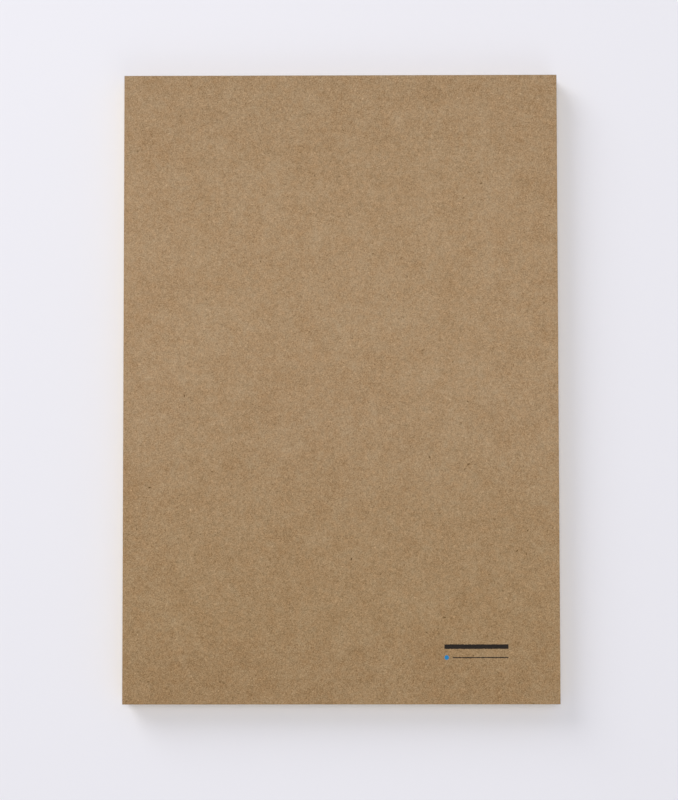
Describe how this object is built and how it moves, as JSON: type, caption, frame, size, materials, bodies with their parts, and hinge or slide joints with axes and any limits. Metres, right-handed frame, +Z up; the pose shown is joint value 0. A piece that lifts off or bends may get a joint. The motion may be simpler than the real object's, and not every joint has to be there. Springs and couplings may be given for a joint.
{
  "type": "legal pad",
  "caption": "Gummed writing pad of ruled yellow leaves on a stiff kraft board, lying face down with the board on top.",
  "frame": {"origin": "middle of the face that the pad rests on, which is the writing face of its first leaf", "axes": "+Y along the pad to its gummed head, +X to the right for someone who looks down on the board with the head away from them, +Z up through the leaves and the board"},
  "size_m": [0.145, 0.21, 0.009],
  "materials": {
    "writing_paper": "matte",
    "kraft_board": "matte",
    "padding_gum": "satin"
  },
  "bodies": {
    "root": {"ruled_sheets": "writing_paper", "backing_board": "kraft_board", "head_gum": "padding_gum"}
  },
  "joints": []
}
